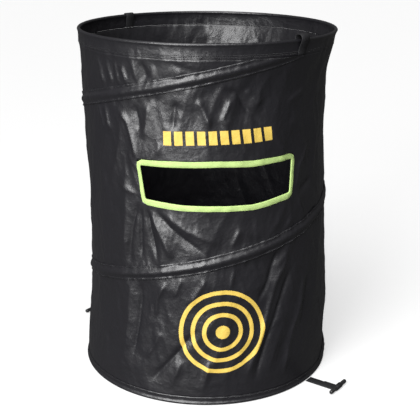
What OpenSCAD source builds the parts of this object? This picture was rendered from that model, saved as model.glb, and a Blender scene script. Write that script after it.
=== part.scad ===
// Pop-up disc target: a fabric tube on a spiral of spring wire, with a bound slot in front.
// It stands open on its floor panel and collapses flat, and two toggles hold it closed.
// +Z is up, the slot faces -Y, and the origin is the centre of the base on the ground.

/* [Overall] */
// Height from the ground to the top of the rim, without the loops
height = 685; // [600:5:760]
// Outer radius of the rim
rim_radius = 250; // [230:1:280]
// Outer radius of the base
base_radius = 253; // [232:1:285]
// Radius of the wall where its waist is narrowest
waist_radius = 235; // [224:1:244]
// Height of the waist above the ground
waist_height = 560; // [450:5:580]

/* [Fabric] */
// Thickness of the wall panels
wall_thickness = 0.5; // [0.4:0.1:0.8]
// Thickness of the floor panel
floor_thickness = 0.8; // [0.5:0.1:1.5]
// Thickness of the doubled fabric in the hems
hem_thickness = 1.2; // [1:0.1:1.6]
// Depth of the rim hem
rim_hem_depth = 28; // [20:1:40]
// Depth of the base hem
base_hem_depth = 14; // [12:1:24]

/* [Spring wire] */
// Diameter of the spring wire
wire_diameter = 3; // [2:0.5:4]
// Height that the spiral climbs in one turn
spiral_pitch = 343; // [300:1:420]
// Height of the spiral's middle line where it crosses the front
spiral_front_height = 630; // [560:1:640]
// Width of the sleeve that holds the spiral
sleeve_width = 28; // [20:1:36]
// Length of a ferrule that joins two wire ends
ferrule_length = 36; // [20:1:60]

/* [Slot] */
// Width of the slot's opening
slot_width = 264; // [200:1:290]
// Height of the slot's opening
slot_height = 73; // [60:1:100]
// Height of the slot's middle above the ground
slot_middle = 434; // [380:1:460]
// Width of the binding above and below the opening
binding_width = 13.5; // [8:0.5:18]
// Width of the binding at the ends of the opening
binding_end_width = 8; // [6:0.5:16]
// Corner radius of the opening
slot_corner = 6; // [3:0.5:12]

/* [Toggles and loops] */
// Direction of the first toggle strap, counted from +X
strap_angle = -41; // [-60:1:-20]
// Width of the webbing
webbing_width = 20; // [15:1:30]
// Thickness of the webbing
webbing_thickness = 1.5; // [1:0.1:2]
// Length of a toggle strap, from the base hem to the bar
strap_length = 67; // [50:1:90]
// Length of a toggle bar
toggle_length = 60; // [45:1:80]
// Diameter of a toggle bar
toggle_diameter = 8; // [6:0.5:12]
// Direction of the first loop on the rim, counted from +X
loop_angle = -53; // [-70:1:-50]
// Clear height between the rim and the top of a loop
loop_rise = 8; // [7:0.5:12]

/* [Hidden] */
$fn = 72;

fabric_black = [0.08, 0.08, 0.09];
binding_green = [0.72, 0.88, 0.5];
steel = [0.6, 0.6, 0.62];
toggle_black = [0.12, 0.12, 0.12];

gap = 0.3;                                  // clearance between pieces that stay apart
running = 0.08;                             // radial clearance of a shaft in its hole
fabric = 0.8;                               // thickness of a hem's channel
wire_radius = wire_diameter / 2;
ferrule_radius = wire_radius + 0.9;
channel_radius = ferrule_radius + 0.1;      // the inside of a hem, which also holds a ferrule
hem_radius = channel_radius + fabric;
rim_line = rim_radius - hem_radius;         // radius of the rim's wire
base_line = base_radius - hem_radius;       // radius of the base's wire
rim_level = height - hem_radius;            // heights of the two wires
base_level = hem_radius;
wall_bottom = base_hem_depth + gap;
wall_top = height - rim_hem_depth - gap;
wall_steps = 48;
seam_angle = 0.05;                          // half of the gap at a side seam
ferrule_angle = 100;                        // where the ferrules lie, at the rear

// Radius of the middle of the wall at height z
function wall_radius(z) =
    z < waist_height
    ? waist_radius + (base_line - waist_radius) * pow((waist_height - z) / (waist_height - base_hem_depth), 2)
    : waist_radius + (rim_line - waist_radius) * pow((z - waist_height) / (wall_top - waist_height), 2);

// Outline of the wall between two distances from its middle, from bottom to top and back
function wall_outline(inside, outside) = [
    for (i = [0 : wall_steps])
        let (z = wall_bottom + (wall_top - wall_bottom) * i / wall_steps) [wall_radius(z) + outside, z],
    for (i = [wall_steps : -1 : 0])
        let (z = wall_bottom + (wall_top - wall_bottom) * i / wall_steps) [wall_radius(z) + inside, z]
];

// A closed shell that follows half of the wall, from angle start
module half_wall(inside, outside, start) {
    rotate([0, 0, start + seam_angle])
        rotate_extrude(angle = 180 - 2 * seam_angle)
            polygon(wall_outline(inside, outside));
}

// A block with rounded corners that passes through the front at the slot, grown by side and by over
module slot_block(side, over, corner) {
    width = slot_width + 2 * side;
    tall = slot_height + 2 * over;
    translate([0, -waist_radius / 2, slot_middle]) rotate([90, 0, 0])
        linear_extrude(waist_radius)
            union() {
                square([width - 2 * corner, tall], center = true);
                square([width, tall - 2 * corner], center = true);
                for (x = [-1, 1], y = [-1, 1])
                    translate([x * (width / 2 - corner), y * (tall / 2 - corner)]) circle(corner);
            }
}

// A ring of round section
module ring(line, level, radius) {
    rotate_extrude($fn = 180) translate([line, level]) circle(radius, $fn = 32);
}

// The section of a hem's channel, straight from point to point
section_steps = 24;
function round_points(radius) = [
    for (i = [0 : section_steps - 1])
        let (a = 360 * i / section_steps) [radius * cos(a), radius * sin(a)]
];

// A hem: a round channel for the wire and a doubled flange to the edge at height edge
module hem(line, level, edge) {
    low = min(level, edge);
    rotate_extrude($fn = 180)
        difference() {
            union() {
                translate([line, level]) polygon(round_points(hem_radius));
                translate([line - hem_thickness / 2, low]) square([hem_thickness, abs(edge - level)]);
            }
            translate([line, level]) polygon(round_points(channel_radius));
        }
}

// A crimped tube around the joint of a ring's ends
module ferrule(line, level) {
    sweep = 360 * ferrule_length / (2 * PI * line);
    rotate([0, 0, ferrule_angle - sweep / 2])
        rotate_extrude(angle = sweep, $fn = 180)
            translate([line, level])
                difference() {
                    circle(ferrule_radius, $fn = 32);
                    circle(wire_radius + running, $fn = 32);
                }
}

// Joins equal closed sections, one for each step of a sweep, into a solid
module swept(sections) {
    n = len(sections[0]);
    rings = len(sections);
    faces = concat(
        [[for (j = [0 : n - 1]) j]],
        [for (i = [0 : rings - 2], j = [0 : n - 1])
            [i * n + j, (i + 1) * n + j, (i + 1) * n + (j + 1) % n, i * n + (j + 1) % n]],
        [[for (j = [n - 1 : -1 : 0]) (rings - 1) * n + j]]);
    polyhedron([for (s = sections) each s], faces);
}

// The spiral climbs to the right across the front, at spiral_pitch a turn
spiral_step = 5;
function spiral_height(angle) = spiral_front_height + spiral_pitch * (angle + 90) / 360;
function spiral_angle(z) = (z - spiral_front_height) * 360 / spiral_pitch - 90;
function around(angle, radius, z) = [radius * cos(angle), radius * sin(angle), z];
function spiral_angles(low, high) =
    let (first = spiral_angle(low), last = spiral_angle(high), count = ceil((last - first) / spiral_step))
    [for (i = [0 : count]) first + (last - first) * i / count];

skin = wall_thickness / 2;                  // from the wall's middle to its face
spiral_face = skin + 0.4;                   // from the wall's middle to what lies on it in a spiral
wire_line = spiral_face + wire_radius;      // from the wall's middle to the spiral wire's middle
wire_sides = 8;

function wire_section(angle) =
    let (z = spiral_height(angle), r = wall_radius(z) + wire_line)
    [for (j = [0 : wire_sides - 1])
        let (a = 360 * j / wire_sides) around(angle, r + wire_radius * cos(a), z + wire_radius * sin(a))];

// The sleeve stands off the wall most over the wire, and lies on it at both edges
sleeve_points = 6;
sleeve_fabric = 0.5;
sleeve_stand = wire_diameter + 2 * gap;
function sleeve_offset(v) = spiral_face + sleeve_stand * pow(cos(180 * v / sleeve_width), 2);

function sleeve_section(angle) =
    let (middle = spiral_height(angle),
        low = max(-sleeve_width / 2, wall_bottom - middle),
        high = min(sleeve_width / 2, wall_top - middle),
        levels = [for (i = [0 : sleeve_points]) low + (high - low) * i / sleeve_points])
    [for (v = levels) around(angle, wall_radius(middle + v) + sleeve_offset(v) + sleeve_fabric, middle + v),
        for (i = [sleeve_points : -1 : 0])
            let (v = levels[i]) around(angle, wall_radius(middle + v) + sleeve_offset(v), middle + v)];

sleeve_tail = 4;                            // the width that the sleeve still has at its two ends
sleeve_run = sleeve_width / 2 - sleeve_tail;

module floor_panel() {
    color(fabric_black)
        cylinder(h = floor_thickness, r = base_line - hem_radius + 0.5);
}

module base_hem() {
    color(fabric_black) hem(base_line, base_level, base_hem_depth);
}

module base_wire() {
    color(steel) ring(base_line, base_level, wire_radius);
}

module base_ferrule() {
    color(steel) ferrule(base_line, base_level);
}

module front_panel() {
    color(fabric_black)
        difference() {
            half_wall(-skin, skin, 180);
            slot_block(binding_end_width / 2, binding_width / 2, slot_corner);
        }
}

module rear_panel() {
    color(fabric_black) half_wall(-skin, skin, 0);
}

// The binding folds over the cut edge of the front panel, which lies in its groove
module slot_binding() {
    face = skin + 0.9;
    groove = skin + 0.1;
    color(binding_green)
        difference() {
            intersection() {
                half_wall(-face, face, 180);
                slot_block(binding_end_width, binding_width, slot_corner + binding_end_width);
            }
            slot_block(0, 0, slot_corner);
            difference() {
                half_wall(-groove, groove, 180);
                slot_block(binding_end_width / 2 - 0.5, binding_width / 2 - 0.5, slot_corner);
            }
        }
}

module spring_wire() {
    angles = spiral_angles(wall_bottom + wire_radius + gap, wall_top - wire_radius - gap);
    color(steel) swept([for (a = angles) wire_section(a)]);
}

module spiral_sleeve() {
    angles = spiral_angles(wall_bottom - sleeve_run, wall_top + sleeve_run);
    color(fabric_black) swept([for (a = angles) sleeve_section(a)]);
}

module rim_hem() {
    color(fabric_black) hem(rim_line, rim_level, height - rim_hem_depth);
}

module rim_wire() {
    color(steel) ring(rim_line, rim_level, wire_radius);
}

module rim_ferrule() {
    color(steel) ferrule(rim_line, rim_level);
}

// A loop of webbing that arches over the rim and is sewn to the foot of its hem on both sides
loop_inside = hem_radius + 4.2;
loop_centre = height + loop_rise - loop_inside;
loop_foot = height - rim_hem_depth + 2;
loop_steps = 12;
function loop_line(radius, foot) = [
    [rim_line - foot, loop_foot],
    for (i = [0 : loop_steps])
        let (a = 180 - 180 * i / loop_steps) [rim_line + radius * cos(a), loop_centre + radius * sin(a)],
    [rim_line + foot, loop_foot]
];
function reversed(list) = [for (i = [len(list) - 1 : -1 : 0]) list[i]];

module loop(angle) {
    inner_foot = hem_thickness / 2 + gap;
    color(fabric_black)
        rotate([0, 0, angle]) translate([0, webbing_width / 2, 0]) rotate([90, 0, 0])
            linear_extrude(webbing_width)
                polygon(concat(
                    loop_line(loop_inside + webbing_thickness, inner_foot + webbing_thickness),
                    reversed(loop_line(loop_inside, inner_foot))));
}

module loop_right() {
    loop(loop_angle);
}

module loop_left() {
    loop(loop_angle + 180);
}

// The strap lies on the ground and bends up at the base hem, where its root turns on its own edge
strap_root = base_radius + 0.1 + webbing_thickness / 2;
eye_bore = toggle_diameter / 2 + running;
eye_radius = eye_bore + webbing_thickness;

module at_strap(angle) {
    rotate([0, 0, angle]) translate([strap_root, 0, 0]) children();
}

module across(radius, width) {
    translate([0, width / 2, 0]) rotate([90, 0, 0]) cylinder(h = width, r = radius);
}

module strap(angle) {
    color(fabric_black)
        at_strap(angle)
            difference() {
                union() {
                    translate([0, 0, webbing_thickness / 2]) across(webbing_thickness / 2, webbing_width);
                    translate([0, -webbing_width / 2, 0])
                        cube([strap_length, webbing_width, webbing_thickness]);
                    translate([strap_length, 0, eye_radius]) across(eye_radius, webbing_width);
                }
                translate([strap_length, 0, eye_radius]) across(eye_bore, webbing_width + 2);
            }
}

module strap_right() {
    strap(strap_angle);
}

module strap_left() {
    strap(strap_angle + 180);
}

// The bar turns in the eye of its strap
module toggle(angle) {
    radius = toggle_diameter / 2;
    color(toggle_black)
        at_strap(angle)
            translate([strap_length, 0, eye_radius])
                union() {
                    across(radius, toggle_length - toggle_diameter);
                    for (side = [-1, 1])
                        translate([0, side * (toggle_length / 2 - radius), 0]) sphere(radius);
                }
}

module toggle_right() {
    toggle(strap_angle);
}

module toggle_left() {
    toggle(strap_angle + 180);
}

floor_panel();
base_hem();
base_wire();
base_ferrule();
front_panel();
rear_panel();
slot_binding();
spring_wire();
spiral_sleeve();
rim_hem();
rim_wire();
rim_ferrule();
loop_right();
loop_left();
strap_right();
strap_left();
toggle_right();
toggle_left();
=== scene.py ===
"""Looks of a pop-up disc target: cloth, tape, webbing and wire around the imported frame."""

import math

import bpy
import numpy as np
from mathutils import Matrix, Vector


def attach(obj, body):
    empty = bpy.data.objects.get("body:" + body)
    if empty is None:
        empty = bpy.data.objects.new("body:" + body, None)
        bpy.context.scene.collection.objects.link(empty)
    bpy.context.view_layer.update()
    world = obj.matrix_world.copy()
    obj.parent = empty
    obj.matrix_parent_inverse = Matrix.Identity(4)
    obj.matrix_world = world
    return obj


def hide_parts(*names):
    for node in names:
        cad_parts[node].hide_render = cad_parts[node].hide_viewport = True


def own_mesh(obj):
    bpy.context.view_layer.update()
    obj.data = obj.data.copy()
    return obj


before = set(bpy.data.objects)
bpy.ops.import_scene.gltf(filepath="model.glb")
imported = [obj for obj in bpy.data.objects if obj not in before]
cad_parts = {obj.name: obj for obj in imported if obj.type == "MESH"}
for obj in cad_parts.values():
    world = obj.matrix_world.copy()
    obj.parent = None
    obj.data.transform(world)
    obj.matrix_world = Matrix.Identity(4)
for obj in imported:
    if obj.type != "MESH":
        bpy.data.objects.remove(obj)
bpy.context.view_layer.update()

bl_info = {
    "name": "Pop-up Disc Target",
    "version": (1, 0, 0),
    "blender": (4, 5, 0),
    "location": "View3D > Sidebar > Disc Target",
    "description": "Builds the cloth, tape, webbing and wire of a pop-up disc target",
    "category": "Object",
}

# ---------------------------------------------------------------- sizes, in millimetres and degrees

WALL_BOTTOM = 14.3
WALL_TOP = 656.7
WAIST_HEIGHT = 560.0
WAIST_RADIUS = 235.0
BASE_LINE = 249.7
RIM_LINE = 246.7
HEM_RADIUS = 3.3
RIM_LEVEL = 681.7
BASE_LEVEL = 3.3
SPIRAL_PITCH = 343.0
SPIRAL_FRONT = 630.0
SPIRAL_START = -90.0
SLEEVE_HALF = 14.0
WIRE_RADIUS = 1.5
WIRE_LIFT = 2.05
SLOT_HALF = 132.0
SLOT_MIDDLE = 434.0
SLOT_TALL = 36.5
SLOT_CORNER = 3.0
TAPE_SIDE = 13.5
TAPE_END = 8.0
STRAP_ANGLES = {"right": -41.0, "left": 139.0}
LOOP_ANGLES = {"right": -53.0, "left": 127.0}
STRAP_ROOT = 253.85
STRAP_LENGTH = 67.0
WEBBING_WIDTH = 20.0
EYE_HEIGHT = 5.58
EYE_LINE = 4.83
BAR_RADIUS = 4.0
BAR_LENGTH = 60.0
ARC = math.pi * 245.0 / 180.0  # millimetres of wall for one degree
CURVE_FOOT = 14.0  # where the wall's curve ends below

# Layers of random relief: height, cells round the tube, a cell's height, its lean, seed
SOFT_WAVES = ((1.7, 24, 230, 0.35, 3), (0.9, 47, 120, -0.4, 5), (0.1, 230, 14, 0.3, 19))
CREASES = ((1.3, 38, 95, -0.8, 11), (0.5, 88, 46, 0.6, 17), (0.2, 152, 27, -0.7, 18))
PUCKERS = ((0.75, 128, 70, 0.3, 23), (0.35, 211, 50, -0.3, 29))

# Where the wall lies flatter: the share taken off its relief, and how far that reaches
SPIRAL_HOLD, SPIRAL_REACH = 0.88, 18.0
SLOT_HOLD, SLOT_REACH = 0.65, 22.0
BASE_HOLD, BASE_REACH = 0.88, 60.0
RIM_HOLD, RIM_REACH = 0.55, 45.0
STRAP_HOLD, STRAP_REACH = 0.8, 10.0  # reach in degrees
STRAP_HOLD_TOP, STRAP_HOLD_FADE = 80.0, 50.0
SEAM_REACH = 12.0  # of the puckers beside the sleeve
HEM_REACH = 16.0  # of the puckers at the hems
DRAWN_IN, DRAWN_ANGLE, DRAWN_SPREAD = 5.0, -5.0, 48.0  # the wall drawn in under the rim at the right
DRAWN_START, DRAWN_FADE = 575.0, 50.0
SWAY, SWAY_LEVEL, SWAY_SPAN, SWAY_BACK = -6.5, 360.0, 440.0, 0.09
SWAY_BASE_FADE, SWAY_RIM_FADE = 150.0, 70.0

# How the cut slot hangs: places across it from -1 to 1, and the millimetres or degrees there
SLOT_TOP_HANG = ((-1, 0, 0.45, 0.6, 1), (-9, -5, -7.5, -6, -4))
SLOT_BOTTOM_HANG = ((-1, -0.5, 0, 0.45, 0.6, 1), (1, -4, -5, -5.5, -3, 6))
SLOT_TOP_TURN = ((-1, 1), (-0.6, 3.2))
SLOT_BOTTOM_TURN = ((-1, 1), (1.1, 1.4))
HANG_REACH = 42.0

# Plain print on the front wall, in degrees of the pattern and millimetres
BAR_START, BAR_PITCH, BAR_COUNT = 246.3, 4.9, 10
BAR_ROW, BAR_SLOPE = 517.5, 0.1
RING_ANGLE, RING_HEIGHT, RING_RADII = 270.6, 149.0, (35, 57, 79)

# Rim loops: points (out from the line, height) up to the top, and the top's height
LOOP_PATHS = {
    "right": ([(1.75, 657.3), (1.9, 664), (3.2, 671), (6.6, 679), (8.4, 686), (6.2, 691.6)], 693.5),
    "left": ([(1.75, 657.3), (2.4, 664), (3.4, 671), (4.6, 678), (4.7, 683), (3.2, 685.7)], 686.8),
}

# A hem's side: points (out from the line, share of the way from the wall's edge to the wire)
HEM_SWELL = ((0.8, 0.06), (0.7, 0.14), (0.8, 0.25), (0.8, 0.4), (0.9, 0.55))
TALL_HEM_END = ((1.25, 0.7), (1.9, 0.82))
LOW_HEM_END = ((1.5, 0.7),)
TALL_HEM = 15.0
HEM_BEND_START = 0.72  # half width of the bend's start, as a share of HEM_RADIUS
RIM_LIP, BASE_LIP = 0.25, 1.9  # from the wall's edge: the rim hem stops short, the base hem laps over

FLOOR_RADIUS = 246.0
FLOOR_HEIGHT = 0.45
FLOOR_THICKNESS = 0.6
TAPE_END_LAP, TAPE_SIDE_LAP = TAPE_END - 2.2, TAPE_SIDE - 3.1
BAR_BEVEL = 2.6

# Fold profile: reach in half widths, sharpness, rounding of the crest and its level, fade at the ends
FOLD_REACH, FOLD_SHARPNESS, FOLD_ROUNDING, FOLD_CREST, FOLD_FADE = 4, 1.4, 0.05, 0.22, 0.25
FOLD_GAIN = 1.45

# Each fold: half width, height (below zero for a valley), then its points as (angle, height)
FOLDS = [
    (5, 1.8, (-150, 650), (-143, 595)),
    (5, 1.6, (-143, 645), (-138, 598)),
    (4, 1.5, (-138, 645), (-134, 598)),
    (4, 1.8, (-134, 640), (-129, 600)),
    (6, 2.2, (-128, 652), (-124, 603)),
    (4, -1.6, (-124, 650), (-120, 615)),
    (9, 1.6, (-119, 645), (-116, 605)),
    (5, -1.8, (-112, 650), (-97, 632)),
    (5, 1.4, (-99, 650), (-96, 640)),
    (5, 1.6, (-150, 562), (-145, 512)),
    (5, 1.6, (-145, 566), (-141, 512)),
    (6, 2.4, (-137, 562), (-131, 540), (-125, 470)),
    (8, -1.8, (-127, 570), (-124, 520)),
    (9, 1.6, (-120, 578), (-122, 510)),
    (10, -2.2, (-107, 585), (-109, 530)),
    (8, 2.2, (-98, 592), (-92, 535)),
    (6, 1.6, (-113, 508), (-122, 472)),
    (6, -2.8, (-89, 606), (-81, 596), (-77, 570), (-69, 535)),
    (5, 2.0, (-83, 590), (-87, 552), (-84, 535)),
    (8, 2.0, (-78, 604), (-70, 572)),
    (5, -1.4, (-82, 512), (-76, 480)),
    (6, 1.4, (-66, 538), (-59, 480)),
    (4, 1.6, (-44, 592), (-57, 572)),
    (6, 1.8, (-42, 490), (-50, 450), (-52, 395)),
    (4, 1.4, (-131, 487), (-125, 458)),
    (4, 1.6, (-138, 422), (-127, 403)),
    (14, 2.4, (-133, 470), (-134, 360), (-136, 262)),
    (6, -2.0, (-127, 400), (-131, 335), (-134, 262)),
    (5, -2.4, (-124, 388), (-118, 278)),
    (7, 2.2, (-123, 386), (-110, 282)),
    (6, -2.6, (-121, 384), (-108, 335), (-95, 298)),
    (6, 1.8, (-117, 382), (-104, 345), (-88, 318)),
    (5, -2.0, (-126, 386), (-127, 275)),
    (9, -2.4, (-37, 418), (-50, 392)),
    (3, 1.3, (-47, 348), (-48, 312)),
    (3, 1.5, (-50, 342), (-53, 312)),
    (3, 1.4, (-54, 352), (-59, 328)),
    (5, 1.8, (-56, 327), (-65, 298)),
    (5, 1.5, (-57, 292), (-63, 262)),
    (4, 1.4, (-80, 352), (-85, 312)),
    (4, 1.4, (-51, 393), (-44, 348)),
    (5, 1.3, (-162, 217), (-153, 188)),
    (4, 1.2, (-138, 242), (-134, 222)),
    (15, 2.6, (-133, 240), (-134, 150), (-136, 60)),
    (6, -2.2, (-127, 236), (-129, 150), (-131, 70)),
    (5, 1.8, (-114, 246), (-119, 205), (-120, 165)),
    (5, 1.4, (-107, 257), (-111, 212)),
    (6, 1.6, (-96, 257), (-104, 200)),
    (7, 1.8, (-116, 148), (-124, 78)),
    (8, -2.8, (-100, 158), (-111, 90), (-124, 18)),
    (8, 2.0, (-106, 92), (-112, 20)),
    (7, 2.2, (-94, 96), (-97, 20)),
    (6, -2.4, (-61, 302), (-65, 268), (-69, 225), (-74, 196)),
    (7, -2.8, (-50, 272), (-56, 245), (-60, 210), (-68, 125), (-75, 18)),
    (6, 2.2, (-55, 292), (-64, 235), (-70, 150), (-79, 30)),
    (6, 2.0, (-46, 242), (-49, 180), (-54, 125), (-59, 20)),
    (6, -1.8, (-42, 242), (-45, 180), (-49, 110)),
    (5, 1.4, (-83, 282), (-86, 228)),
]


class DiscTargetSettings(bpy.types.PropertyGroup):
    """Sizes and colours of the target's soft pieces."""

    fold_height: bpy.props.FloatProperty(
        name="Fold height",
        description="Height of the wall's folds, as a share of the usual height",
        default=1.35,
        min=0.0,
        max=3.0,
        subtype="FACTOR",
    )
    cloth_thickness: bpy.props.FloatProperty(
        name="Cloth thickness",
        description="Thickness of the wall's cloth",
        default=0.0004,
        min=0.0001,
        max=0.001,
        unit="LENGTH",
    )
    tape_thickness: bpy.props.FloatProperty(
        name="Tape thickness",
        description="Thickness of the slot's binding tape",
        default=0.00045,
        min=0.0002,
        max=0.001,
        unit="LENGTH",
    )
    cloth_colour: bpy.props.FloatVectorProperty(
        name="Cloth colour",
        description="Colour of the wall, hems, sleeve and floor",
        default=(0.009, 0.0086, 0.011),
        size=3,
        subtype="COLOR",
    )
    tape_colour: bpy.props.FloatVectorProperty(
        name="Tape colour",
        description="Colour of the slot's binding tape",
        default=(0.56, 0.76, 0.27),
        size=3,
        subtype="COLOR",
    )
    print_colour: bpy.props.FloatVectorProperty(
        name="Print colour",
        description="Colour of the plain bars and rings printed on the front",
        default=(0.80, 0.56, 0.10),
        size=3,
        subtype="COLOR",
    )


# ---------------------------------------------------------------- shape of the wall


def eased(x):
    """A smooth step from 0 to 1 as x goes from 0 to 1."""
    x = np.clip(x, 0, 1)
    return x * x * (3 - 2 * x)


def bell(x, width):
    """1 where x is 0, falling away on both sides over width."""
    return np.exp(-((x / width) ** 2))


def wrapped(angle):
    """The same angle between -180 and 180 degrees."""
    return (angle + 180) % 360 - 180


def noise(x, y, seed, period=0):
    """Smooth noise from -1 to 1 with one value per unit of x and y; it repeats in x after period."""
    column, row = np.floor(x).astype(np.int64), np.floor(y).astype(np.int64)
    across, up = eased(x - column), eased(y - row)

    def value(i, j):
        i = i % period if period else i
        n = (i * 374761393 + j * 668265263 + seed * 974634777) & 0x7FFFFFFF
        n = ((n ^ (n >> 13)) * 1274126177) & 0x7FFFFFFF
        n = ((n ^ (n >> 15)) * 461845907) & 0x7FFFFFFF
        return ((n ^ (n >> 16)) & 0xFFFF) / 32767.5 - 1

    low = value(column, row) * (1 - across) + value(column + 1, row) * across
    high = value(column, row + 1) * (1 - across) + value(column + 1, row + 1) * across
    return low * (1 - up) + high * up


def around(angle, z, cells, tall, lean, seed):
    """Noise of so many cells round the tube, each tall millimetres high and leaning by lean cells."""
    return noise(angle / 360 * cells + lean * z / tall, z / tall, seed, cells)


def waves(angle, z, layers):
    """Layers of rounded waves added up."""
    return sum(height * around(angle, z, *cells) for height, *cells in layers)


def creased(angle, z, layers):
    """Layers of waves with sharp crests added up."""
    return sum(height * (0.5 - 2 * np.abs(around(angle, z, *cells))) for height, *cells in layers)


def wall_radius(z):
    """Radius of the tube's plain surface at height z."""
    z = np.clip(z, WALL_BOTTOM, WALL_TOP)
    low = ((WAIST_HEIGHT - z) / (WAIST_HEIGHT - CURVE_FOOT)) ** 2
    high = ((z - WAIST_HEIGHT) / (WALL_TOP - WAIST_HEIGHT)) ** 2
    return WAIST_RADIUS + np.where(
        z < WAIST_HEIGHT, (BASE_LINE - WAIST_RADIUS) * low, (RIM_LINE - WAIST_RADIUS) * high
    )


def spiral_height(angle):
    """Height of the spiral at an unwrapped angle."""
    return SPIRAL_FRONT + SPIRAL_PITCH * (angle - SPIRAL_START) / 360


def spiral_angle(z):
    """Unwrapped angle where the spiral is at height z."""
    return SPIRAL_START + (z - SPIRAL_FRONT) * 360 / SPIRAL_PITCH


def above_spiral(angle, z):
    """Signed height above the nearest turn of the spiral."""
    turns = np.round((z - spiral_height(angle)) / SPIRAL_PITCH)
    return z - spiral_height(angle) - turns * SPIRAL_PITCH


def folds(angle, z):
    """Height of the listed folds."""
    x = angle * ARC
    total = np.zeros_like(x)
    for half, height, *points in FOLDS:
        line = np.array([(a * ARC, b) for a, b in points], float)
        steps = np.hypot(*np.diff(line, axis=0).T)
        ends = np.concatenate([[0], np.cumsum(steps)])
        reach = FOLD_REACH * half
        inside = (
            (x > line[:, 0].min() - reach)
            & (x < line[:, 0].max() + reach)
            & (z > line[:, 1].min() - reach)
            & (z < line[:, 1].max() + reach)
        )
        px, pz = x[inside], z[inside]
        best = np.full(px.shape, 1e9)
        share = np.zeros_like(best)
        for k, length in enumerate(steps):
            (ax, az), (bx, bz) = line[k], line[k + 1]
            t = ((px - ax) * (bx - ax) + (pz - az) * (bz - az)) / length**2
            t = np.clip(t, 0, 1)
            far = np.hypot(px - ax - t * (bx - ax), pz - az - t * (bz - az))
            nearer = far < best
            best = np.where(nearer, far, best)
            share = np.where(nearer, (ends[k] + t * length) / ends[-1], share)
        crest = np.sqrt((best / half) ** 2 + FOLD_ROUNDING) - FOLD_CREST
        crest = height * np.exp(-FOLD_SHARPNESS * crest)
        total[inside] += crest * eased(share / FOLD_FADE) * eased((1 - share) / FOLD_FADE)
    return total


def slot_gap(angle, z):
    """Place across the slot, and distance from its opening, in millimetres."""
    side = WAIST_RADIUS * np.sin(np.radians(angle + 90))
    off = np.maximum(np.abs(z - SLOT_MIDDLE) - SLOT_TALL, 0)
    return side, np.hypot(np.maximum(np.abs(side) - SLOT_HALF, 0), off)


def relief(angle, z):
    """Height of the wall's folds and puckers above its plain surface."""
    settings = bpy.context.scene.disc_target
    angle, z = np.broadcast_arrays(np.asarray(angle, float), np.asarray(z, float))
    near = np.abs(above_spiral(angle, z))
    total = waves(angle, z, SOFT_WAVES) + creased(angle, z, CREASES) + FOLD_GAIN * folds(angle, z)
    total = total * (1 - SPIRAL_HOLD * np.exp(-((near / SPIRAL_REACH) ** 4)))
    total = total * (1 - SLOT_HOLD * np.where(angle < 0, bell(slot_gap(angle, z)[1], SLOT_REACH), 0))
    total = total * (1 - BASE_HOLD * (1 - eased((z - WALL_BOTTOM) / BASE_REACH)))
    total = total * (1 - RIM_HOLD * (1 - eased((WALL_TOP - z) / RIM_REACH)))
    seam = bell(np.maximum(near - SLEEVE_HALF, 0), SEAM_REACH) * (near > 10)
    seam = np.maximum(seam, 0.8 * bell(WALL_TOP - z, HEM_REACH))
    seam = np.maximum(seam, 0.7 * bell(z - WALL_BOTTOM, HEM_REACH))
    total = settings.fold_height * (total + waves(angle, z, PUCKERS) * seam)
    beside = sum(bell(angle - strap, STRAP_REACH) for strap in STRAP_ANGLES.values())
    total = total * (1 - STRAP_HOLD * beside * (1 - eased((z - STRAP_HOLD_TOP) / STRAP_HOLD_FADE)))
    return total - DRAWN_IN * bell(angle - DRAWN_ANGLE, DRAWN_SPREAD) * eased((z - DRAWN_START) / DRAWN_FADE)


def slot_shift(angle, z):
    """How far the cloth at the slot hangs off its cut shape, as (degrees, millimetres)."""
    side, gap = slot_gap(wrapped(angle), z)
    fade = np.where(np.abs(wrapped(angle) + 90) < 80, bell(gap, HANG_REACH), 0)
    share = np.clip((z - SLOT_MIDDLE) / SLOT_TALL, -1, 1) * 0.5 + 0.5

    def between(top, bottom):
        return np.interp(side / SLOT_HALF, *top) * share + np.interp(side / SLOT_HALF, *bottom) * (1 - share)

    return fade * between(SLOT_TOP_TURN, SLOT_BOTTOM_TURN), fade * between(SLOT_TOP_HANG, SLOT_BOTTOM_HANG)


def placed(angle, z, lift=0.0):
    """Points on the tube at angles in degrees and heights z, lifted off its folded surface."""
    angle, z, lift = np.broadcast_arrays(
        np.asarray(angle, float), np.asarray(z, float), np.asarray(lift, float)
    )
    radius = wall_radius(z) + relief(wrapped(angle), np.clip(z, WALL_BOTTOM, WALL_TOP)) + lift
    turned, dropped = slot_shift(angle, z)
    return on_axis(angle + turned, z + dropped, radius)


def on_axis(angle, z, radius):
    """Points at a radius round the tube's axis, which leans a little to each side on its way up."""
    sway = SWAY * np.sin(np.pi * (z - SWAY_LEVEL) / SWAY_SPAN)
    sway = sway * eased((z - WALL_BOTTOM) / SWAY_BASE_FADE) * eased((WALL_TOP - z) / SWAY_RIM_FADE)
    turn = np.radians(angle)
    x, y = radius * np.cos(turn) + sway, radius * np.sin(turn) - SWAY_BACK * sway
    return np.stack([x, y, z + 0 * turn], -1)


# ---------------------------------------------------------------- meshes


def mesh_piece(name, points, faces, coordinates):
    """A smooth mesh piece from points in millimetres, with one pattern coordinate per face corner."""
    mesh = bpy.data.meshes.new(name)
    mesh.from_pydata((np.asarray(points) * 0.001).tolist(), [], [list(f) for f in faces])
    layer = mesh.uv_layers.new(name="pattern")
    layer.data.foreach_set("uv", np.asarray(coordinates, np.float32).ravel())
    mesh.polygons.foreach_set("use_smooth", [True] * len(mesh.polygons))
    mesh.update()
    piece = bpy.data.objects.new(name, mesh)
    bpy.context.scene.collection.objects.link(piece)
    return piece


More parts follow.
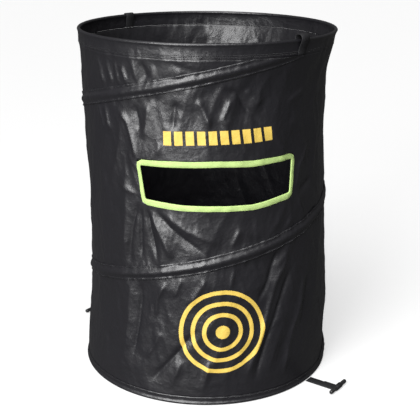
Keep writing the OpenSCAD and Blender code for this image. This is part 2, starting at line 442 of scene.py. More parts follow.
def patch(name, points, u, v, keep=None):
    """An open grid of points[row, column]; keep says which of its faces are there."""
    rows, columns = points.shape[:2]
    i, j = np.meshgrid(np.arange(rows - 1), np.arange(columns - 1), indexing="ij")
    if keep is not None:
        i, j = i[keep], j[keep]
    i, j = i.ravel(), j.ravel()
    corners = [(i, j), (i, j + 1), (i + 1, j + 1), (i + 1, j)]
    faces = np.stack([a * columns + b for a, b in corners], 1)
    coordinates = np.stack([np.stack([u[b], v[a]], 1) for a, b in corners], 1)
    used, faces = np.unique(faces, return_inverse=True)
    faces = faces.reshape(-1, 4)
    return mesh_piece(name, points.reshape(-1, 3)[used], faces.tolist(), coordinates)


def swept(name, sections, u, v, closed=False):
    """A tube through sections[station, point]; u and v are the pattern's lengths along and round it."""
    count, size = sections.shape[:2]
    i, j = np.meshgrid(np.arange(count if closed else count - 1), np.arange(size), indexing="ij")
    i, j = i.ravel(), j.ravel()
    corners = [(i, j), (i, j + 1), (i + 1, j + 1), (i + 1, j)]
    faces = np.stack([(a % count) * size + b % size for a, b in corners], 1).tolist()
    coordinates = np.stack([np.stack([u[a], v[b]], 1) for a, b in corners], 1).reshape(-1, 2)
    if not closed:
        first = list(range(size))
        faces += [first, [(count - 1) * size + k for k in reversed(first)]]
        ends = [(u[0], v[k]) for k in first] + [(u[-1], v[k]) for k in reversed(first)]
        coordinates = np.concatenate([coordinates, np.array(ends)])
    piece = mesh_piece(name, sections.reshape(-1, 3), faces, coordinates)
    faced_outwards(piece)
    return piece


def alone(piece):
    """Selects piece alone and makes it active."""
    bpy.ops.object.select_all(action="DESELECT")
    piece.select_set(True)
    bpy.context.view_layer.objects.active = piece


def faced_outwards(piece):
    """Turns a closed piece's faces outwards."""
    alone(piece)
    bpy.ops.object.mode_set(mode="EDIT")
    bpy.ops.mesh.select_all(action="SELECT")
    bpy.ops.mesh.normals_make_consistent(inside=False)
    bpy.ops.object.mode_set(mode="OBJECT")


def thickened(piece, thickness):
    """Gives an open sheet its thickness, half to each side."""
    alone(piece)
    modifier = piece.modifiers.new("thickness", "SOLIDIFY")
    modifier.thickness = thickness
    modifier.offset = 0
    bpy.ops.object.modifier_apply(modifier=modifier.name)


def lengths(points):
    """Running length along a line of points."""
    return np.concatenate([[0], np.cumsum(np.linalg.norm(np.diff(points, axis=0), axis=1))])


def smoothed(points, count):
    """A smooth line of count points through the given ones."""
    points = np.asarray(points, float)
    padded = np.concatenate([[2 * points[0] - points[1]], points, [2 * points[-1] - points[-2]]])
    at = np.linspace(0, len(points) - 1 - 1e-9, count)
    k = at.astype(int)
    t = (at - k)[:, None]
    a, b, c, d = padded[k], padded[k + 1], padded[k + 2], padded[k + 3]
    bend = (2 * a - 5 * b + 4 * c - d) * t**2 + (3 * b - a - 3 * c + d) * t**3
    return 0.5 * (2 * b + (c - a) * t + bend)


def banded(line, width, thickness):
    """Sections of a flat band along a line in the plane (across, up): points as (along band, across, up)."""
    step = np.gradient(line, axis=0)
    step /= np.linalg.norm(step, axis=1)[:, None]
    normal = np.stack([-step[:, 1], step[:, 0]], 1)
    half, edge = width / 2, thickness / 2
    corners = [(-half, -0.3), (-half + 0.5, -1), (half - 0.5, -1), (half, -0.3)]
    corners += [(half, 0.3), (half - 0.5, 1), (-half + 0.5, 1), (-half, 0.3)]
    sections = np.zeros((len(line), len(corners), 3))
    for k, (side, up) in enumerate(corners):
        sections[:, k, 0] = side
        sections[:, k, 1:] = line + normal * up * edge
    return sections, np.array([side for side, up in corners] + [corners[0][0]])


def finished(piece, body, slot, material, *nodes, folds_down=False):
    """Gives a piece its finish, its body and the CAD nodes that it stands for."""
    piece.data.materials.clear()
    piece.data.materials.append(material)
    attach(piece, body)
    if nodes:
        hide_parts(*nodes)
    if folds_down:
        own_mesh(piece)
    return piece


# ---------------------------------------------------------------- materials


class Nodes:
    """Short calls for building one node tree."""

    def __init__(self, tree):
        self.tree = tree

    def add(self, kind, **values):
        node = self.tree.nodes.new(kind)
        for key, value in values.items():
            setattr(node, key, value)
        return node

    def link(self, source, target):
        self.tree.links.new(source, target)

    def math(self, operation, *inputs):
        node = self.add("ShaderNodeMath", operation=operation)
        for socket, value in zip(node.inputs, inputs):
            if isinstance(value, (int, float)):
                socket.default_value = value
            else:
                self.link(value, socket)
        return node.outputs[0]

    def noise(self, vector, scale, detail=2.0, roughness=0.5):
        node = self.add("ShaderNodeTexNoise")
        node.inputs["Scale"].default_value = scale
        node.inputs["Detail"].default_value = detail
        node.inputs["Roughness"].default_value = roughness
        self.link(vector, node.inputs["Vector"])
        return node.outputs["Fac"]

    def ramp(self, value, low, high, to_low=0.0, to_high=1.0):
        node = self.add("ShaderNodeMapRange")
        for name, number in zip(
            ("From Min", "From Max", "To Min", "To Max"), (low, high, to_low, to_high)
        ):
            node.inputs[name].default_value = number
        self.link(value, node.inputs["Value"])
        return node.outputs["Result"]

    def mixed(self, factor, a, b):
        node = self.add("ShaderNodeMix", data_type="RGBA")
        self.link(factor, node.inputs[0])
        for socket, value in ((node.inputs[6], a), (node.inputs[7], b)):
            if isinstance(value, tuple):
                socket.default_value = (*value, 1)
            else:
                self.link(value, socket)
        return node.outputs[2]

    def stitches(self, along, across, at):
        node = self.add("ShaderNodeGroup", node_tree=stitch_group())
        self.link(along, node.inputs["Along"])
        self.link(across, node.inputs["Across"])
        node.inputs["At"].default_value = at
        return node.outputs["Mask"]

    def bumped(self, shader, height, strength, distance):
        node = self.add("ShaderNodeBump")
        node.inputs["Strength"].default_value = strength
        node.inputs["Distance"].default_value = distance
        self.link(height, node.inputs["Height"])
        self.link(node.outputs[0], shader.inputs["Normal"])


def new_group(name, outputs, inputs=()):
    """An empty node group with named float or colour sockets."""
    group = bpy.data.node_groups.new(name, "ShaderNodeTree")
    for label, kind, default in inputs:
        socket = group.interface.new_socket(name=label, in_out="INPUT", socket_type=kind)
        socket.default_value = default
    for label, kind in outputs:
        group.interface.new_socket(name=label, in_out="OUTPUT", socket_type=kind)
    nodes = Nodes(group)
    return group, nodes, nodes.add("NodeGroupInput"), nodes.add("NodeGroupOutput")


def cloth_group():
    """Height of fine crinkles and weave, and a mask of random patches, from Object coordinates; the patches
    are glossier and get painted sheen.
    """
    name = "Cloth relief"
    if name in bpy.data.node_groups:
        return bpy.data.node_groups[name]
    group, nodes, _, end = new_group(
        name, [("Height", "NodeSocketFloat"), ("Gloss and painted sheen mask", "NodeSocketFloat")]
    )
    at = nodes.add("ShaderNodeTexCoord").outputs["Object"]
    crinkle = nodes.noise(at, 45, 3, 0.5)
    ridge = nodes.math("ABSOLUTE", nodes.math("SUBTRACT", nodes.noise(at, 26, 3, 0.55), 0.5))
    ridge = nodes.math("MULTIPLY", ridge, -1.5)
    weave = nodes.math("MULTIPLY", nodes.noise(at, 1400, 1), 0.05)
    height = nodes.math("ADD", nodes.math("MULTIPLY", crinkle, 0.25), ridge)
    nodes.link(nodes.math("ADD", height, weave), end.inputs["Height"])
    nodes.link(nodes.ramp(nodes.noise(at, 7, 3), 0.35, 0.65), end.inputs["Gloss and painted sheen mask"])
    return group


def stitch_group():
    """A mask of short stitches on a line: Along and Across in millimetres, the line at At."""
    name = "Stitches"
    if name in bpy.data.node_groups:
        return bpy.data.node_groups[name]
    inputs = [(label, "NodeSocketFloat", 0.0) for label in ("Along", "Across", "At")]
    group, nodes, start, end = new_group(name, [("Mask", "NodeSocketFloat")], inputs)
    off = nodes.math("SUBTRACT", start.outputs["Across"], start.outputs["At"])
    line = nodes.ramp(nodes.math("ABSOLUTE", off), 0.25, 0.55, 1, 0)
    dash = nodes.math("FRACT", nodes.math("MULTIPLY", start.outputs["Along"], 0.36))
    dash = nodes.math("ABSOLUTE", nodes.math("SUBTRACT", dash, 0.5))
    nodes.link(nodes.math("MULTIPLY", line, nodes.ramp(dash, 0.3, 0.4, 1, 0)), end.inputs["Mask"])
    return group


def new_material(name):
    """A material with its Principled shader, and short calls for its tree."""
    material = bpy.data.materials.new(name)
    material.use_nodes = True
    return material, Nodes(material.node_tree), material.node_tree.nodes["Principled BSDF"]


def pattern(nodes):
    """The piece's pattern lengths in millimetres, along and across."""
    split = nodes.add("ShaderNodeSeparateXYZ")
    nodes.link(nodes.add("ShaderNodeUVMap", uv_map="pattern").outputs[0], split.inputs[0])
    scale = 1000.0
    return [nodes.math("MULTIPLY", split.outputs[k], scale) for k in (0, 1)]


def print_mask(nodes):
    """Plain bars above the slot and plain rings below it; the pattern is degrees and millimetres."""
    angle, z = pattern(nodes)
    rise = nodes.math("MULTIPLY", nodes.math("SUBTRACT", angle, 246), BAR_SLOPE)
    middle = nodes.math("ADD", rise, BAR_ROW)
    bar = nodes.ramp(nodes.math("ABSOLUTE", nodes.math("SUBTRACT", z, middle)), 11, 12, 1, 0)
    place = nodes.math("DIVIDE", nodes.math("SUBTRACT", angle, BAR_START), BAR_PITCH)
    gap = nodes.math("ABSOLUTE", nodes.math("SUBTRACT", nodes.math("FRACT", place), 0.5))
    bars = nodes.math("MULTIPLY", bar, nodes.ramp(gap, 0.35, 0.37, 1, 0))
    for past_end in (place, nodes.math("SUBTRACT", BAR_COUNT, place)):
        bars = nodes.math("MULTIPLY", bars, nodes.ramp(past_end, -0.01, 0.0))
    x = nodes.math("MULTIPLY", nodes.math("SUBTRACT", angle, RING_ANGLE), ARC)
    y = nodes.math("SUBTRACT", z, RING_HEIGHT)
    square = nodes.math("ADD", nodes.math("MULTIPLY", x, x), nodes.math("MULTIPLY", y, y))
    distance = nodes.math("SQRT", square)
    rings = nodes.ramp(distance, 13, 14, 1, 0)
    for radius in RING_RADII:
        off = nodes.math("ABSOLUTE", nodes.math("SUBTRACT", distance, radius))
        rings = nodes.math("MAXIMUM", rings, nodes.ramp(off, 3.6, 4.4, 1, 0))
    return nodes.math("MAXIMUM", bars, rings)


def cloth_material(printed=False, seams=(), name="Cloth"):
    """Thin glossy black cloth, with stitches at the given pattern places and the print if wanted."""
    if name in bpy.data.materials:
        return bpy.data.materials[name]
    settings = bpy.context.scene.disc_target
    material, nodes, shader = new_material(name)
    group = nodes.add("ShaderNodeGroup", node_tree=cloth_group())
    height, gloss_and_painted_sheen = group.outputs["Height"], group.outputs["Gloss and painted sheen mask"]
    # Painted sheen: in the mask's random patches the base colour goes up to halfway towards 1.35 times the
    # cloth colour; the same patches are also less rough.
    colour = nodes.mixed(
        nodes.ramp(gloss_and_painted_sheen, 0, 1, 0.0, 0.5),
        tuple(settings.cloth_colour),
        tuple(1.35 * c for c in settings.cloth_colour),
    )
    rough = nodes.ramp(gloss_and_painted_sheen, 0, 1, 0.43, 0.36)
    if printed:
        mask = print_mask(nodes)
        colour = nodes.mixed(mask, colour, tuple(settings.print_colour))
        rough = nodes.math("ADD", rough, nodes.math("MULTIPLY", mask, 0.2))
    if seams:
        along, across = pattern(nodes)
        for at in seams:
            mask = nodes.stitches(along, across, at)
            colour = nodes.mixed(nodes.math("MULTIPLY", mask, 0.6), colour, (0.02, 0.02, 0.023))
            height = nodes.math("ADD", height, nodes.math("MULTIPLY", mask, 0.5))
    nodes.link(colour, shader.inputs["Base Color"])
    nodes.link(rough, shader.inputs["Roughness"])
    shader.inputs["Specular IOR Level"].default_value = 0.85
    nodes.bumped(shader, height, strength=0.8, distance=0.0026)
    return material


def band_material(name, colour, roughness, pitch, at):
    """Ribbed woven band: ribs of the given pitch across it, painted shade in the grooves between the ribs,
    and stitches at pattern places at.
    """
    if name in bpy.data.materials:
        return bpy.data.materials[name]
    material, nodes, shader = new_material(name)
    along, across = pattern(nodes)
    rib = nodes.math("SINE", nodes.math("MULTIPLY", along, 2 * math.pi / pitch))
    thread = nodes.math("SINE", nodes.math("MULTIPLY", across, 2 * math.pi / (pitch * 0.7)))
    height = nodes.math("ADD", nodes.math("MULTIPLY", rib, 0.5), nodes.math("MULTIPLY", thread, 0.3))
    coordinates = nodes.add("ShaderNodeTexCoord").outputs["Object"]
    cloudy = nodes.noise(coordinates, 60, 3)
    shade = nodes.ramp(cloudy, 0.3, 0.7, 0.0, 1.0)
    tone = nodes.mixed(shade, tuple(0.86 * c for c in colour), tuple(min(1, 1.06 * c) for c in colour))
    # Painted shade: the colour darkens towards 0.6 of itself in the low grooves between the ribs.
    tone = nodes.mixed(nodes.ramp(height, -0.7, 0.2, 0.25, 0), tone, tuple(0.6 * c for c in colour))
    for place in at:
        mask = nodes.stitches(along, across, place)
        tone = nodes.mixed(nodes.math("MULTIPLY", mask, 0.35), tone, tuple(0.45 * c for c in colour))
        height = nodes.math("SUBTRACT", height, nodes.math("MULTIPLY", mask, 1.2))
    nodes.link(tone, shader.inputs["Base Color"])
    shader.inputs["Roughness"].default_value = roughness
    shader.inputs["Specular IOR Level"].default_value = 0.35
    nodes.bumped(shader, height, strength=0.4, distance=0.0003)
    return material


def webbing_material():
    """Black ribbed webbing, stitched near both edges."""
    return band_material("Webbing", (0.020, 0.020, 0.022), 0.55, 1.6, (2.2, 17.8))


def steel_material():
    """Bright drawn spring steel with fine lines and a little tarnish."""
    if "Spring steel" in bpy.data.materials:
        return bpy.data.materials["Spring steel"]
    material, nodes, shader = new_material("Spring steel")
    at = nodes.add("ShaderNodeTexCoord").outputs["Object"]
    tarnish = nodes.ramp(nodes.noise(at, 40, 4), 0.4, 0.7)
    colour = nodes.mixed(tarnish, (0.58, 0.59, 0.61), (0.36, 0.34, 0.31))
    nodes.link(colour, shader.inputs["Base Color"])
    shader.inputs["Metallic"].default_value = 1.0
    nodes.link(nodes.ramp(nodes.noise(at, 900, 2), 0.3, 0.7, 0.22, 0.38), shader.inputs["Roughness"])
    return material


def plastic_material():
    """Satin moulded plastic with a faint grain and scuffs."""
    material, nodes, shader = new_material("Moulded plastic")
    at = nodes.add("ShaderNodeTexCoord").outputs["Object"]
    scuffs = nodes.ramp(nodes.noise(at, 220, 4, 0.7), 0.5, 0.75)
    colour = nodes.mixed(scuffs, (0.020, 0.020, 0.021), (0.05, 0.05, 0.052))
    nodes.link(colour, shader.inputs["Base Color"])
    nodes.link(nodes.ramp(scuffs, 0, 1, 0.32, 0.55), shader.inputs["Roughness"])
    nodes.bumped(shader, nodes.noise(at, 900, 2), strength=0.25, distance=0.0002)
    return material


# ---------------------------------------------------------------- operators


class DISC_TARGET_OT_walls(bpy.types.Operator):
    """Builds the front wall with its slot, and the rear wall."""

    bl_idname = "disc_target.walls"
    bl_label = "Walls"

    def execute(self, context):
        settings = context.scene.disc_target
        heights = np.linspace(WALL_BOTTOM, WALL_TOP, 156)
        for name, start, node in (("front_wall", -180, "front_panel"), ("rear_wall", 0, "rear_panel")):
            angles = np.linspace(start, start + 180, 308)
            keep = None
            if name == "front_wall":
                middle_angle = (angles[1:] + angles[:-1]) / 2
                middle = (heights[1:] + heights[:-1]) / 2
                side = np.abs(wall_radius(middle)[:, None] * np.sin(np.radians(middle_angle + 90)))
                past = np.abs(middle - SLOT_MIDDLE)[:, None]
                keep = (side > SLOT_HALF + TAPE_END / 2) | (past > SLOT_TALL + TAPE_SIDE / 2)
            points = placed(angles[None, :], heights[:, None])
            u, v = (angles + 360) * 0.001, heights * 0.001
            wall = patch(name, points, u, v, keep)
            thickened(wall, settings.cloth_thickness)
            material = cloth_material(printed=name == "front_wall", name=f"Cloth {name}")
            finished(wall, "base", "fabric", material, node, folds_down=True)
        return {"FINISHED"}


class DISC_TARGET_OT_slot_tape(bpy.types.Operator):
    """Builds the binding tape folded over the slot's edge."""

    bl_idname = "disc_target.slot_tape"
    bl_label = "Slot tape"

    def execute(self, context):
        wide, tall, corner = SLOT_HALF, SLOT_TALL, SLOT_CORNER
        outline = []
        for k, (sx, sz) in enumerate(((1, 1), (-1, 1), (-1, -1), (1, -1))):
            for t in np.linspace(0, 90, 6):
                turn = math.radians(90 * k + t)
                out_x, out_z = math.cos(turn), math.sin(turn)
                x, z = sx * (wide - corner) + corner * out_x, sz * (tall - corner) + corner * out_z
                outline.append((x, z, out_x, out_z))
        outline = np.array(outline + [outline[0]])
        run = lengths(outline[:, :2])
        at = np.linspace(0, run[-1], 261)[:-1]
        edge_x, edge_z, out_x, out_z = (np.interp(at, run, outline[:, k]) for k in range(4))
        size = np.hypot(out_x, out_z)
        out_x, out_z = out_x / size, out_z / size
        width = TAPE_END_LAP + (TAPE_SIDE_LAP - TAPE_END_LAP) * out_z**2
        width = width + 0.5 * noise(at / 30, 0 * at, 31)
        thick, clearance = context.scene.disc_target.tape_thickness * 1000, 0.35
        shares = [1.0, 0.97, 0.8, 0.6, 0.4, 0.2, 0.04]
        section = [(s, 1, 1) for s in shares] + [(-0.05, 0.45, 1), (-0.05, -0.45, 1)]
        section += [(s, -1, 1) for s in reversed(shares)]
        section += [(s, -1, 0) for s in (0.98, 0.6, 0.1)] + [(s, 1, 0) for s in (0.1, 0.6, 0.98)]
        angles = np.zeros((len(at), len(section)))
        heights, lifts, across = np.zeros_like(angles), np.zeros_like(angles), []
        for k, (share, face, outer) in enumerate(section):
            x = edge_x + out_x * width * share
            z = SLOT_MIDDLE + edge_z + out_z * width * share
            lump = clearance * (1 + noise(at / 9, 0 * at + share * 2.2, 37))
            crown = 0.5 * math.sin(math.pi * min(max(share, 0), 1))
            angles[:, k] = -90 + np.degrees(np.arcsin(x / wall_radius(z)))
            heights[:, k] = z
            lifts[:, k] = face * (clearance + lump + crown + outer * thick)
            across.append(share * TAPE_SIDE)
        sections = placed(angles, heights, lifts)
        u = np.append(at, run[-1]) * 0.001
        v = np.array(across + [across[0]]) * 0.001
        tape = swept("slot_tape", sections, u, v, closed=True)
        colour = tuple(context.scene.disc_target.tape_colour)
        material = band_material("Binding tape", colour, 0.62, 1.3, (10.8, 2.6))
        finished(tape, "base", "binding", material, "slot_binding", folds_down=True)
        return {"FINISHED"}


class DISC_TARGET_OT_sleeve(bpy.types.Operator):
    """Builds the gathered sleeve over the spiral wire."""

    bl_idname = "disc_target.sleeve"
    bl_label = "Spiral sleeve"

    def execute(self, context):
        over = SLEEVE_HALF - 4
        low, high = spiral_angle(WALL_BOTTOM - over), spiral_angle(WALL_TOP + over)
        angles = np.linspace(low, high, 1150)
        middle = spiral_height(angles)
        bottom = np.maximum(-SLEEVE_HALF, WALL_BOTTOM - middle)
        top = np.minimum(SLEEVE_HALF, WALL_TOP - middle)
        shares = np.array([0, 0.03, 0.07, 0.11, 0.16, 0.22, 0.3, 0.38, 0.44, 0.5, 0.56, 0.62])
        shares = np.append(shares, [0.7, 0.78, 0.86, 0.93, 1.0])
        thickness = 0.35
        across = bottom[:, None] + (top - bottom)[:, None] * shares
        gathers = 0.9 * noise(angles[:, None] * ARC / 8 + 0.05 * across, across / 16, 41)
        gathers += 0.5 * noise(angles[:, None] * ARC / 4.5, across / 12, 43)
        edge = bell(SLEEVE_HALF - np.abs(across), 6)
        lowest, arch, arch_half = 0.75, 3.3, 6.2
        lift = lowest + arch * np.exp(-((np.abs(across) / arch_half) ** 2.6))
        lift += 1.1 * bell(across + 12.4, 1.3) + 0.3 * bell(across - 12.8, 1.2)
        lift += 0.6 * np.maximum(gathers, -0.6) * (0.7 + edge) + 0.55
        lift = np.maximum(lift, lowest)
        scallop = 0.9 * gathers[:, [0, -1]]
        across[:, 0] += np.where(bottom == -SLEEVE_HALF, scallop[:, 0], 0)
        across[:, -1] += np.where(top == SLEEVE_HALF, scallop[:, 1], 0)
        z = np.clip(middle[:, None] + across, WALL_BOTTOM, WALL_TOP)
        outer = placed(angles[:, None], z, lift)
        inner = placed(angles[:, None], z, lift - thickness)
        sections = np.concatenate([outer, inner[:, ::-1]], 1)
        u = (angles - low) * ARC * 0.001
        v = np.concatenate([shares, shares[::-1], shares[:1]]) * 2 * SLEEVE_HALF * 0.001
        sleeve = swept("sleeve_cloth", sections, u, v)
        material = cloth_material(seams=(2.6, 25.4), name="Sleeve cloth")
        finished(sleeve, "base", "fabric", material, "spiral_sleeve", folds_down=True)
        return {"FINISHED"}


class DISC_TARGET_OT_spiral(bpy.types.Operator):
    """Builds the spiral of spring wire inside its sleeve."""

    bl_idname = "disc_target.spiral"
    bl_label = "Spiral wire"

    def execute(self, context):
        low, high = spiral_angle(WALL_BOTTOM + 2), spiral_angle(WALL_TOP - 2)
        angles = np.linspace(low, high, 420)
        turn = np.radians(np.arange(10) * 36.0)
        z = spiral_height(angles)[:, None] + WIRE_RADIUS * np.sin(turn)
        centre = placed(angles, spiral_height(angles), WIRE_LIFT)
        radial = np.stack([np.cos(np.radians(angles)), np.sin(np.radians(angles)), 0 * angles], 1)
        sections = centre[:, None, :] + WIRE_RADIUS * np.cos(turn)[None, :, None] * radial[:, None]
        sections[:, :, 2] = z
        u = (angles - low) * ARC * 0.001
        v = np.arange(11) * 0.001
        wire = swept("spiral_wire", sections, u, v)
        finished(wire, "base", "steel", steel_material(), "spring_wire", folds_down=True)
        return {"FINISHED"}


def hem_section(level, edge):
    """Points (out from the line, height) of a hem that ends at the wall's edge, at height edge."""
    side = 1 if level > edge else -1
    reach = abs(level - edge)
    lip = edge + (RIM_LIP if side > 0 else BASE_LIP)
    flange = edge + side * 0.5
    swell = HEM_SWELL + (TALL_HEM_END if reach > TALL_HEM else LOW_HEM_END)
    right = [(0.75, lip), (0.8, edge + side * 0.4)]
    right += [(out, edge + side * reach * share) for out, share in swell]
    start = math.degrees(math.asin(HEM_BEND_START)) - 90
    turns = np.radians(np.linspace(start, 90, 9))
    bend = [(HEM_RADIUS * math.cos(t), level + side * HEM_RADIUS * math.sin(t)) for t in turns]
    half = right + bend
    left = [(-x, z) for x, z in reversed(half[:-1])]
    return half + left + [(-0.4, lip), (-0.4, flange), (0.4, flange), (0.4, lip)]


def hem_piece(name, line, level, edge, seed):
    """A hem of doubled cloth round its wire, following the wall's folds at its edge."""
    section = np.array(hem_section(level, edge))
    angles = np.linspace(-180, 180, 541)[:-1]
    share = np.clip((level - section[:, 1]) / (level - edge), 0, 1)
    folded = relief(angles, edge)
    ripples = ((0.8, 150, 30, 0.2, seed), (0.9, 61, 60, 0.2, seed + 1))
    wave = waves(angles[:, None], section[None, :, 1], ripples)
    radius = line + section[None, :, 0] + folded[:, None] * share + wave * share * (1.2 - share)
    across = np.concatenate([[0], lengths(section)[1:], [lengths(section)[-1] + 1]])
    z = np.broadcast_to(section[None, :, 1], radius.shape)
    sections = on_axis(angles[:, None], z, radius)
    u = np.linspace(0, 360 * ARC, len(angles) + 1) * 0.001
    return swept(name, sections, u, across * 0.001, closed=True)


class DISC_TARGET_OT_hems(bpy.types.Operator):
    """Builds the hems at the rim and at the base, and finishes the rings inside them."""

    bl_idname = "disc_target.hems"
    bl_label = "Hems and rings"

    def execute(self, context):
        rim = hem_piece("rim_hem_cloth", RIM_LINE, RIM_LEVEL, WALL_TOP, 51)
        finished(rim, "rim", "fabric", cloth_material(seams=(3.2, 6.2), name="Rim hem cloth"), "rim_hem")
        base = hem_piece("base_hem_cloth", BASE_LINE, BASE_LEVEL, WALL_BOTTOM, 61)
        finished(base, "base", "fabric", cloth_material(seams=(3.0,), name="Base hem cloth"), "base_hem")
        for node in ("base_wire", "rim_wire", "base_ferrule", "rim_ferrule"):
            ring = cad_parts[node]
            ring.data.materials.clear()
            ring.data.materials.append(steel_material())
        return {"FINISHED"}


class DISC_TARGET_OT_floor_cloth(bpy.types.Operator):
    """Builds the floor panel of doubled cloth."""

    bl_idname = "disc_target.floor_cloth"
    bl_label = "Floor panel"

    def execute(self, context):
        inner = 4
        radii = np.linspace(inner, FLOOR_RADIUS, 60)[:, None]
        angles = np.linspace(-180, 180, 241)[:-1]
        rise = FLOOR_HEIGHT * (1 + noise(angles / 360 * 24, radii / 45, 71, 24))
        rise = rise * eased((FLOOR_RADIUS - radii) / 40) * eased((radii - inner) / 30) + FLOOR_HEIGHT
        turn = np.radians(angles)
        points = np.stack([radii * np.cos(turn), radii * np.sin(turn), rise], -1)
        columns = len(angles)
        i, j = np.meshgrid(np.arange(len(radii) - 1), np.arange(columns), indexing="ij")
        i, j = i.ravel(), j.ravel()
        ring = [(i, j), (i + 1, j), (i + 1, j + 1), (i, j + 1)]
        faces = np.stack([a * columns + b % columns for a, b in ring], 1).tolist()
        last = len(radii) * columns
        faces += [[last, k, (k + 1) % columns] for k in range(columns)]
        spots = np.concatenate([points.reshape(-1, 3), [[0.0, 0.0, FLOOR_HEIGHT]]])
        flat = [spots[k, :2] * 0.001 for face in faces for k in face]
        panel = mesh_piece("floor_cloth", spots, faces, flat)
        thickened(panel, FLOOR_THICKNESS * 0.001)
        finished(panel, "base", "fabric", cloth_material(name="Floor cloth"), "floor_panel")
        return {"FINISHED"}


class DISC_TARGET_OT_loops(bpy.types.Operator):
    """Builds the two webbing loops over the rim."""

    bl_idname = "disc_target.loops"
    bl_label = "Rim loops"

    def execute(self, context):
        material = webbing_material()
        for side, angle in LOOP_ANGLES.items():
            half, top = LOOP_PATHS[side]
            path = [(-x, z) for x, z in half] + [(0, top)] + half[::-1]
            line = smoothed(path, 61)
            sections, across = banded(line, WEBBING_WIDTH, 1.3)
            share = np.clip((RIM_LEVEL - sections[:, :, 2]) / (RIM_LEVEL - WALL_TOP), 0, 1)
            turn = angle - np.degrees(sections[:, :, 0] / RIM_LINE)
            radius = RIM_LINE + sections[:, :, 1]
            radius += share * relief(wrapped(turn), WALL_TOP)
            points = on_axis(turn, sections[:, :, 2], radius)
            u = lengths(line) * 0.001
            loop = swept(f"rim_loop_{side}", points, u, (across + 10) * 0.001)
            finished(loop, "rim", "webbing", material, f"loop_{side}")
        return {"FINISHED"}


class DISC_TARGET_OT_straps(bpy.types.Operator):
    """Builds the two straps at the base, each folded round its bar and sewn back on itself."""

    bl_idname = "disc_target.straps"
    bl_label = "Straps"

    def execute(self, context):
        material = webbing_material()
        flat, doubled = 0.76, 2.15  # heights of the webbing's middle, single and sewn back on itself
        turns = np.radians(np.arange(-90, 200, 20.0))
        eye = [
            (STRAP_LENGTH + EYE_LINE * math.cos(t), EYE_HEIGHT + EYE_LINE * math.sin(t)) for t in turns
        ]
        out = [(x, flat) for x in (0, 14, 30, 46, 58)]
        back = [(60.5, 2.7)] + [(x, doubled) for x in (56, 48, 40, 33)]
        line = smoothed(out + eye + back, 150)
        for side, angle in STRAP_ANGLES.items():
            sections, across = banded(line, WEBBING_WIDTH, 1.2)
            turn = math.radians(angle)
            along = STRAP_ROOT + sections[:, :, 1]
            wide = sections[:, :, 0]
            x = along * math.cos(turn) - wide * math.sin(turn)
            y = along * math.sin(turn) + wide * math.cos(turn)
            points = np.stack([x, y, sections[:, :, 2]], -1)
            strap = swept(f"base_strap_{side}", points, lengths(line) * 0.001, (across + 10) * 0.001)
            finished(strap, f"strap_{side}", "webbing", material, f"strap_{side}")
        return {"FINISHED"}


class DISC_TARGET_OT_toggles(bpy.types.Operator):
    """Builds the two toggle bars at the ends of the straps."""

    bl_idname = "disc_target.toggles"
    bl_label = "Toggle bars"

    def execute(self, context):
        material = plastic_material()
        for side, angle in STRAP_ANGLES.items():
            bpy.ops.object.select_all(action="DESELECT")
            bpy.ops.mesh.primitive_cylinder_add(
                vertices=40, radius=BAR_RADIUS * 0.001, depth=BAR_LENGTH * 0.001
            )
            bar = context.active_object
            bar.name = f"toggle_bar_{side}"
            bpy.ops.object.mode_set(mode="EDIT")
            bpy.ops.mesh.select_mode(type="EDGE")
            bpy.ops.mesh.select_all(action="DESELECT")
            bpy.ops.object.mode_set(mode="OBJECT")
            spots = bar.data.vertices
            for edge in bar.data.edges:
                low, high = (spots[k].co.z for k in edge.vertices)
                edge.select = abs(low - high) < 1e-6
            bpy.ops.object.mode_set(mode="EDIT")
            bpy.ops.mesh.bevel(offset=BAR_BEVEL * 0.001, segments=5, affect="EDGES")
            bpy.ops.object.mode_set(mode="OBJECT")
            bpy.ops.object.shade_smooth_by_angle(angle=math.radians(40))
            turn = math.radians(angle)
            reach = (STRAP_ROOT + STRAP_LENGTH) * 0.001
            spot = (reach * math.cos(turn), reach * math.sin(turn), EYE_HEIGHT * 0.001)
            laid = Matrix.Rotation(turn, 4, "Z") @ Matrix.Rotation(math.radians(90), 4, "X")
            bar.data.transform(Matrix.Translation(spot) @ laid)
            finished(bar, f"toggle_{side}", "toggle", material, f"toggle_{side}")
        return {"FINISHED"}


class DISC_TARGET_OT_declare(bpy.types.Operator):
    bl_idname = "disc_target.declare"
    bl_label = "Sheets"

    def execute(self, context):
        return {"FINISHED"}


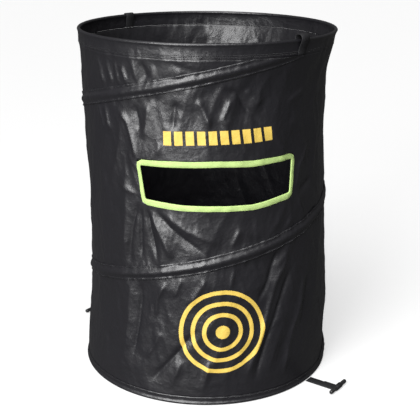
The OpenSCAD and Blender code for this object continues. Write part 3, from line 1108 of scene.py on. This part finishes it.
class DISC_TARGET_OT_stage(bpy.types.Operator):
    """Builds the pale floor, the soft studio light and the camera."""

    bl_idname = "disc_target.stage"
    bl_label = "Stage"

    def execute(self, context):
        scene = context.scene
        bpy.ops.object.select_all(action="DESELECT")
        bpy.ops.mesh.primitive_plane_add(size=60, location=(0, 0, -0.0005))
        ground = context.active_object
        ground.name = "stage_floor"
        material, nodes, shader = new_material("Stage floor")
        ray = nodes.add("ShaderNodeLightPath").outputs["Is Camera Ray"]
        pale = nodes.mixed(ray, (0.08, 0.08, 0.08), (0.56, 0.56, 0.56))
        nodes.link(pale, shader.inputs["Base Color"])
        nodes.link(nodes.ramp(ray, 0, 1, 0, 0.5), shader.inputs["Emission Strength"])
        shader.inputs["Emission Color"].default_value = (1, 1, 1, 1)
        shader.inputs["Roughness"].default_value = 0.9
        shader.inputs["Specular IOR Level"].default_value = 0.1
        ground.data.materials.append(material)
        world = bpy.data.worlds.new("Stage world")
        world.use_nodes = True
        scene.world = world
        nodes = Nodes(world.node_tree)
        light = world.node_tree.nodes["Background"]
        ray = nodes.add("ShaderNodeLightPath").outputs["Is Camera Ray"]
        nodes.link(nodes.ramp(ray, 0, 1, 0.12, 1.0), light.inputs["Strength"])
        light.inputs["Color"].default_value = (1, 1, 1, 1)
        bpy.ops.object.light_add(type="SUN", rotation=(math.radians(32), math.radians(-14), 0))
        sun = context.active_object
        sun.name = "stage_sun"
        sun.data.energy = 2.7
        sun.data.angle = math.radians(55)
        bpy.ops.object.light_add(type="AREA")
        box = context.active_object
        box.name = "stage_softbox"
        box.data.size = 1.3
        box.data.energy = 62
        place, aim = (-1.35, -2.0, 1.05), (1.35, 2.0, -0.6)
        box.matrix_world = Matrix.Translation(place) @ facing(aim)
        data = bpy.data.cameras.new("stage_camera")
        camera = bpy.data.objects.new("stage_camera", data)
        scene.collection.objects.link(camera)
        data.lens = 79.48
        data.sensor_width = 36
        turn, pitch, roll = math.radians(84.365), math.radians(18.289), 0.0065
        level = math.cos(pitch)
        place = (-0.1706, -1.8041, 0.9077)
        aim = (level * math.cos(turn), level * math.sin(turn), -math.sin(pitch))
        camera.matrix_world = Matrix.Translation(place) @ facing(aim) @ Matrix.Rotation(roll, 4, "Z")
        scene.camera = camera
        scene.view_settings.view_transform = "Standard"
        return {"FINISHED"}


def facing(direction):
    """The turn that points an object's -Z along direction, with its Y upwards."""
    return Vector(direction).to_track_quat("-Z", "Y").to_matrix().to_4x4()


class DISC_TARGET_PT_panel(bpy.types.Panel):
    """Sidebar panel with the settings and one button per group of pieces."""

    bl_idname = "DISC_TARGET_PT_panel"
    bl_label = "Disc Target"
    bl_space_type = "VIEW_3D"
    bl_region_type = "UI"
    bl_category = "Disc Target"

    def draw(self, context):
        settings = context.scene.disc_target
        for name in settings.__annotations__:
            self.layout.prop(settings, name)
        for kind in OPERATORS:
            self.layout.operator(kind.bl_idname)


OPERATORS = (
    DISC_TARGET_OT_walls,
    DISC_TARGET_OT_slot_tape,
    DISC_TARGET_OT_sleeve,
    DISC_TARGET_OT_spiral,
    DISC_TARGET_OT_hems,
    DISC_TARGET_OT_floor_cloth,
    DISC_TARGET_OT_loops,
    DISC_TARGET_OT_straps,
    DISC_TARGET_OT_toggles,
    DISC_TARGET_OT_declare,
    DISC_TARGET_OT_stage,
)


def register():
    """Registers the settings, the operators and the panel."""
    for kind in (DiscTargetSettings, *OPERATORS, DISC_TARGET_PT_panel):
        bpy.utils.register_class(kind)
    bpy.types.Scene.disc_target = bpy.props.PointerProperty(type=DiscTargetSettings)


def unregister():
    """Removes what register() added."""
    del bpy.types.Scene.disc_target
    for kind in reversed((DiscTargetSettings, *OPERATORS, DISC_TARGET_PT_panel)):
        bpy.utils.unregister_class(kind)


def main():
    """Builds every piece and the stage."""
    register()
    bpy.ops.disc_target.walls()
    bpy.ops.disc_target.slot_tape()
    bpy.ops.disc_target.sleeve()
    bpy.ops.disc_target.spiral()
    bpy.ops.disc_target.hems()
    bpy.ops.disc_target.floor_cloth()
    bpy.ops.disc_target.loops()
    bpy.ops.disc_target.straps()
    bpy.ops.disc_target.toggles()
    bpy.ops.disc_target.declare()
    bpy.ops.disc_target.stage()


if __name__ == "__main__":
    main()
